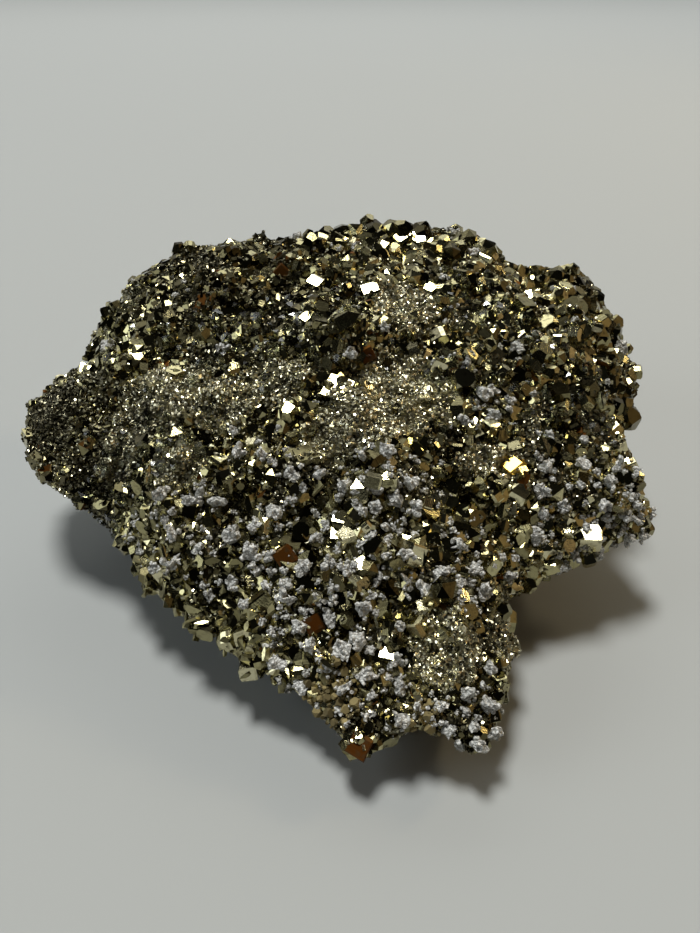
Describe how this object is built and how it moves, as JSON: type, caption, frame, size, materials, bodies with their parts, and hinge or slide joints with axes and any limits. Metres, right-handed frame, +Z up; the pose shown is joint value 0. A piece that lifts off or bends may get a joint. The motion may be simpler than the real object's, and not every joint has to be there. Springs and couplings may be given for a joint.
{
  "type": "pyrite specimen",
  "caption": "Thick plate of intergrown brass-yellow pyrite crystals with fine druse and white calcite grains, resting on its flat broken base.",
  "frame": {"origin": "under the middle of the piece, on the surface it rests on", "axes": "+Z up, +X along its longest side to the right when the low edge of crystals faces the viewer, +Y towards the high ridge at the back"},
  "size_m": [0.1442, 0.1312, 0.0589],
  "materials": {
    "pyrite": "bright metallic crystal faces, brass-yellow to dark grey, with fine striations",
    "druse": "fine-grained metallic sparkle",
    "calcite": "dull white to grey, sugary",
    "quartz": "glassy grey-green grains",
    "limonite": "matt ochre crust"
  },
  "bodies": {
    "root": {"pyrite_cluster": "pyrite"}
  },
  "joints": []
}
